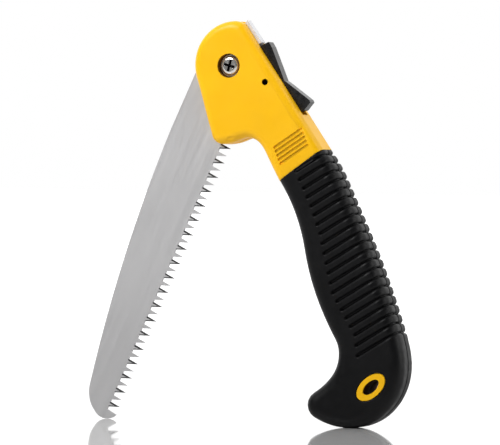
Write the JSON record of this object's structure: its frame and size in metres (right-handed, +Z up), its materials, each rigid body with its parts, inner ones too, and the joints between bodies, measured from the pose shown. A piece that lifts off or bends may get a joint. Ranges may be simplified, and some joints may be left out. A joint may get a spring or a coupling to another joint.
{
  "type": "folding pruning saw",
  "caption": "Folding pruning saw standing half open: toothed steel blade on a screw pivot, yellow head with thumb lock lever, ribbed black pistol grip with a lanyard eye",
  "frame": {"origin": "Middle of the bottom of the whole object's box, on the plane that the blade nose and the butt of the grip stand on, in the middle of the thickness.", "axes": "+Z up as the half-open saw stands, +X from the blade towards the handle spine, +Y from the screw-head side to the nut side, so the saw lies in the XZ plane."},
  "size_m": [0.1983, 0.024, 0.2329],
  "materials": {
    "yellow_shell": "semi-gloss moulded nylon, golden yellow",
    "black_grip": "satin black soft rubber overmould",
    "blade_steel": "satin ground blade with ground tooth bevels",
    "lock_steel": "bright brushed steel",
    "lever_plastic": "satin black plastic",
    "plated_steel": "bright nickel plate",
    "zinc_steel": "zinc plate",
    "nylon_washer": "natural nylon",
    "screw_black": "black oxide"
  },
  "bodies": {
    "handle": {"left_shell": "yellow_shell", "right_shell": "yellow_shell", "left_grip": "black_grip", "right_grip": "black_grip", "pivot_screw": "plated_steel", "pivot_nut": "zinc_steel", "pivot_sleeve": "zinc_steel", "screw_washer": "zinc_steel", "nut_washer": "zinc_steel", "left_thrust_washer": "nylon_washer", "right_thrust_washer": "nylon_washer", "lock_pin": "screw_black", "lock_spring": "zinc_steel", "shell_screw_upper": "screw_black", "shell_screw_middle": "screw_black", "shell_screw_butt": "screw_black"},
    "blade": {"saw_blade": "blade_steel"},
    "lock": {"lock_bar": "lock_steel", "thumb_lever": "lever_plastic", "lever_rivet": "zinc_steel"}
  },
  "joints": [
    {"name": "blade_fold", "type": "hinge", "parent": "handle", "child": "blade", "pos_m": [-0.00985, 0, 0.20639], "axis": [0, 1, 0], "range_deg": [-43, 120.5]},
    {"name": "lock_lever", "type": "hinge", "parent": "handle", "child": "lock", "pos_m": [0.01282, 0, 0.19711], "axis": [0, 1, 0], "range_deg": [0, 6], "stiffness_Nm_per_rad": 0.8, "springref_deg": -6.88, "deforming": ["lock_spring"]}
  ]
}
